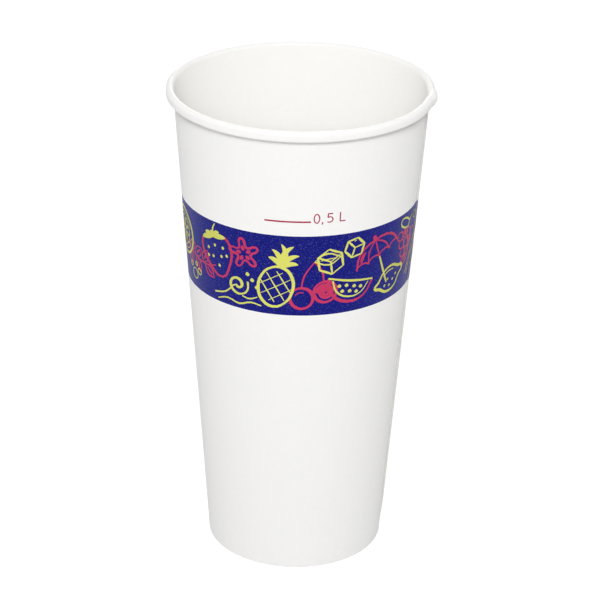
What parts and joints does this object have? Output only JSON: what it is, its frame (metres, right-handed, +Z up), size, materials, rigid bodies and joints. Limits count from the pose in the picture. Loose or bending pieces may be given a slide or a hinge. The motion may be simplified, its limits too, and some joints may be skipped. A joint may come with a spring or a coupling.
{
  "type": "paper cold drink cup",
  "caption": "Tall tapered paper cup with a rolled rim, a glued side lap, a printed band and a recessed bottom disc; holds a cold drink.",
  "frame": {"origin": "centre of the foot, on the surface that the cup stands on", "axes": "+Z up the cup's axis to the mouth, -Y towards the printed front, +X to the right of the front; the side lap is at the right"},
  "size_m": [0.0903, 0.09, 0.168],
  "materials": {
    "coated_board": "white board with a thin satin coating, printed navy band on the outside",
    "bottom_board": "white board with a thin satin coating"
  },
  "bodies": {
    "root": {"side_wall": "coated_board", "bottom_disc": "bottom_board"}
  },
  "joints": []
}
